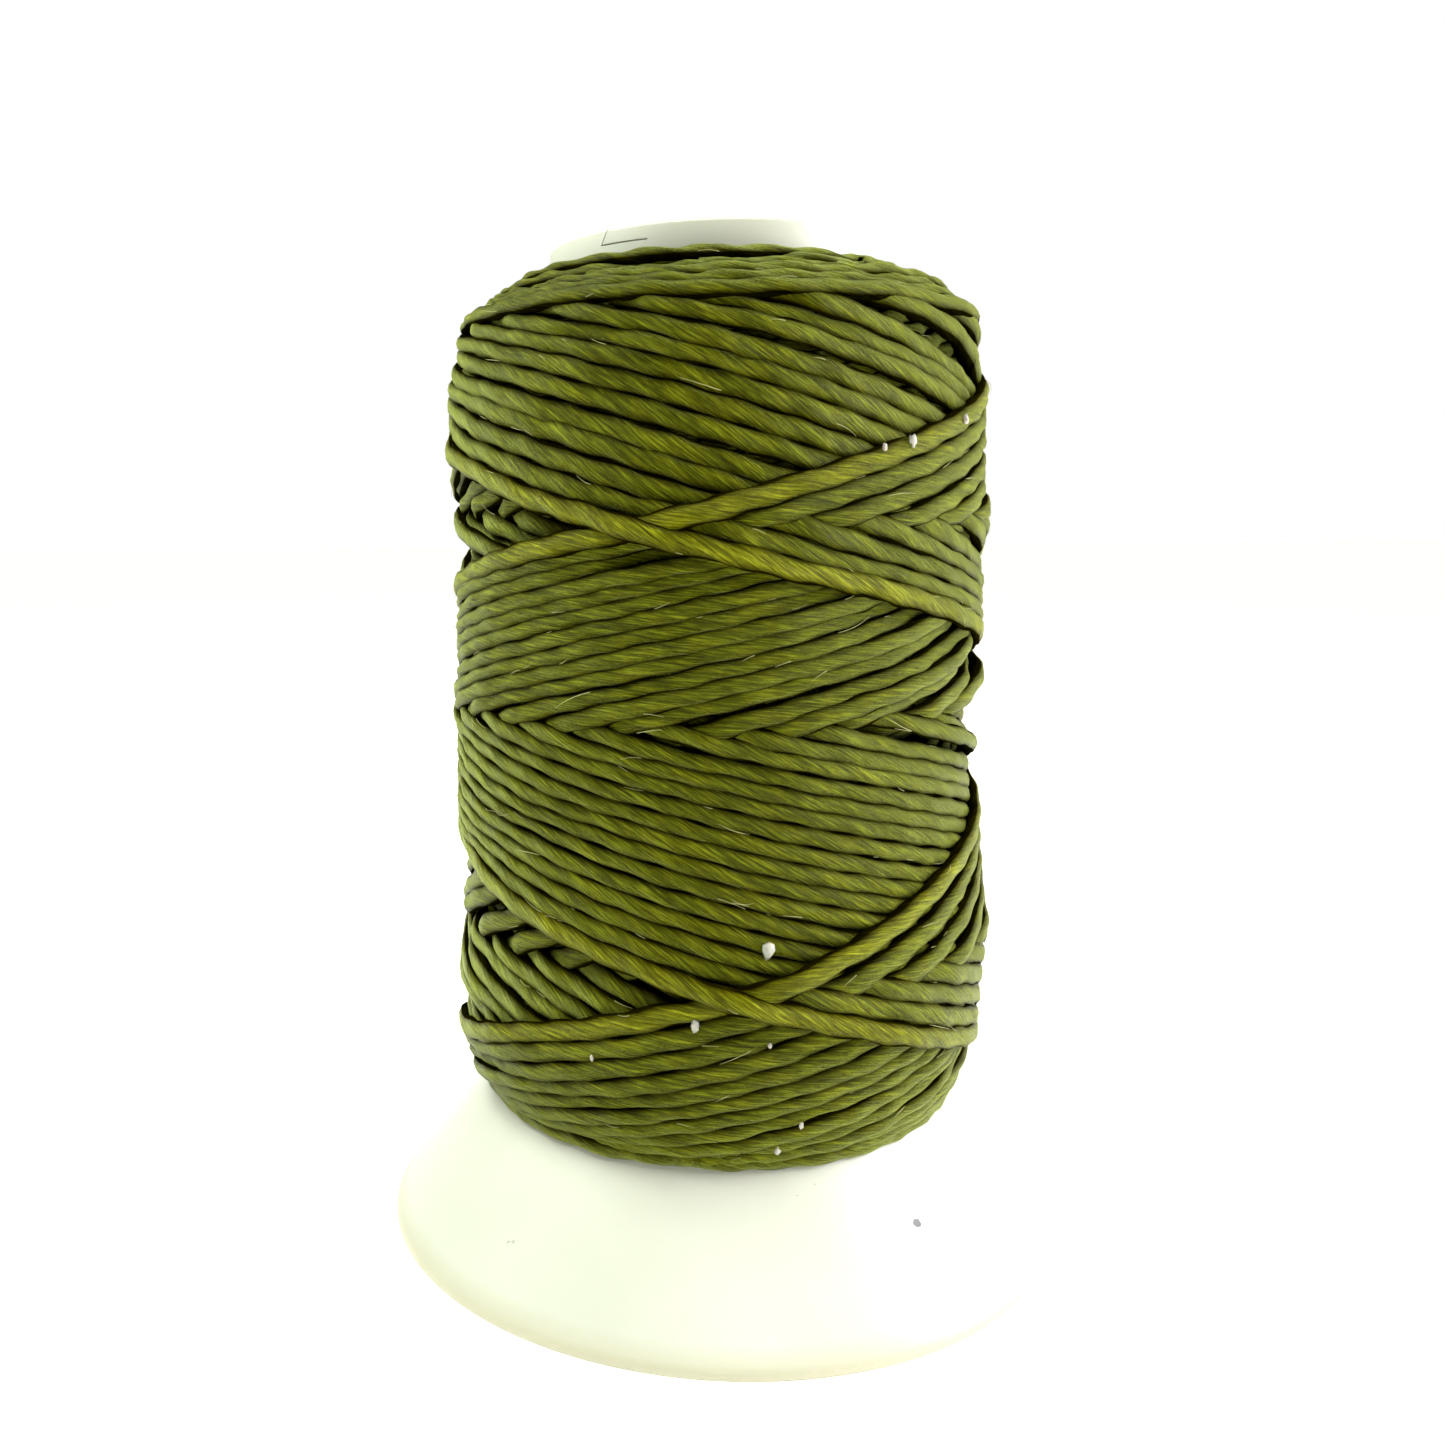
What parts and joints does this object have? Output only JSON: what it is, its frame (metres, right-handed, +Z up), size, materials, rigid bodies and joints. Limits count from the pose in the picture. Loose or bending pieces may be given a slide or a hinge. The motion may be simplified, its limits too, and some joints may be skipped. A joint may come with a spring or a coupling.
{
  "type": "waxed thread spool",
  "caption": "Hollow plastic spool with a conical foot and a spindle hub, cross-wound with waxed sewing thread.",
  "frame": {"origin": "centre of the foot's underside, on the surface the spool stands on", "axes": "+Z up the tube's axis; -Y faces the front, where the winding's crossings lie; the slit in the upper rim is to the left of the front"},
  "size_m": [0.045, 0.045, 0.0656],
  "materials": {
    "spool_plastic": "semi-matt moulded",
    "waxed_thread": "waxed, twisted polyester"
  },
  "bodies": {
    "root": {"spool_body": "spool_plastic", "thread_winding": "waxed_thread"}
  },
  "joints": []
}
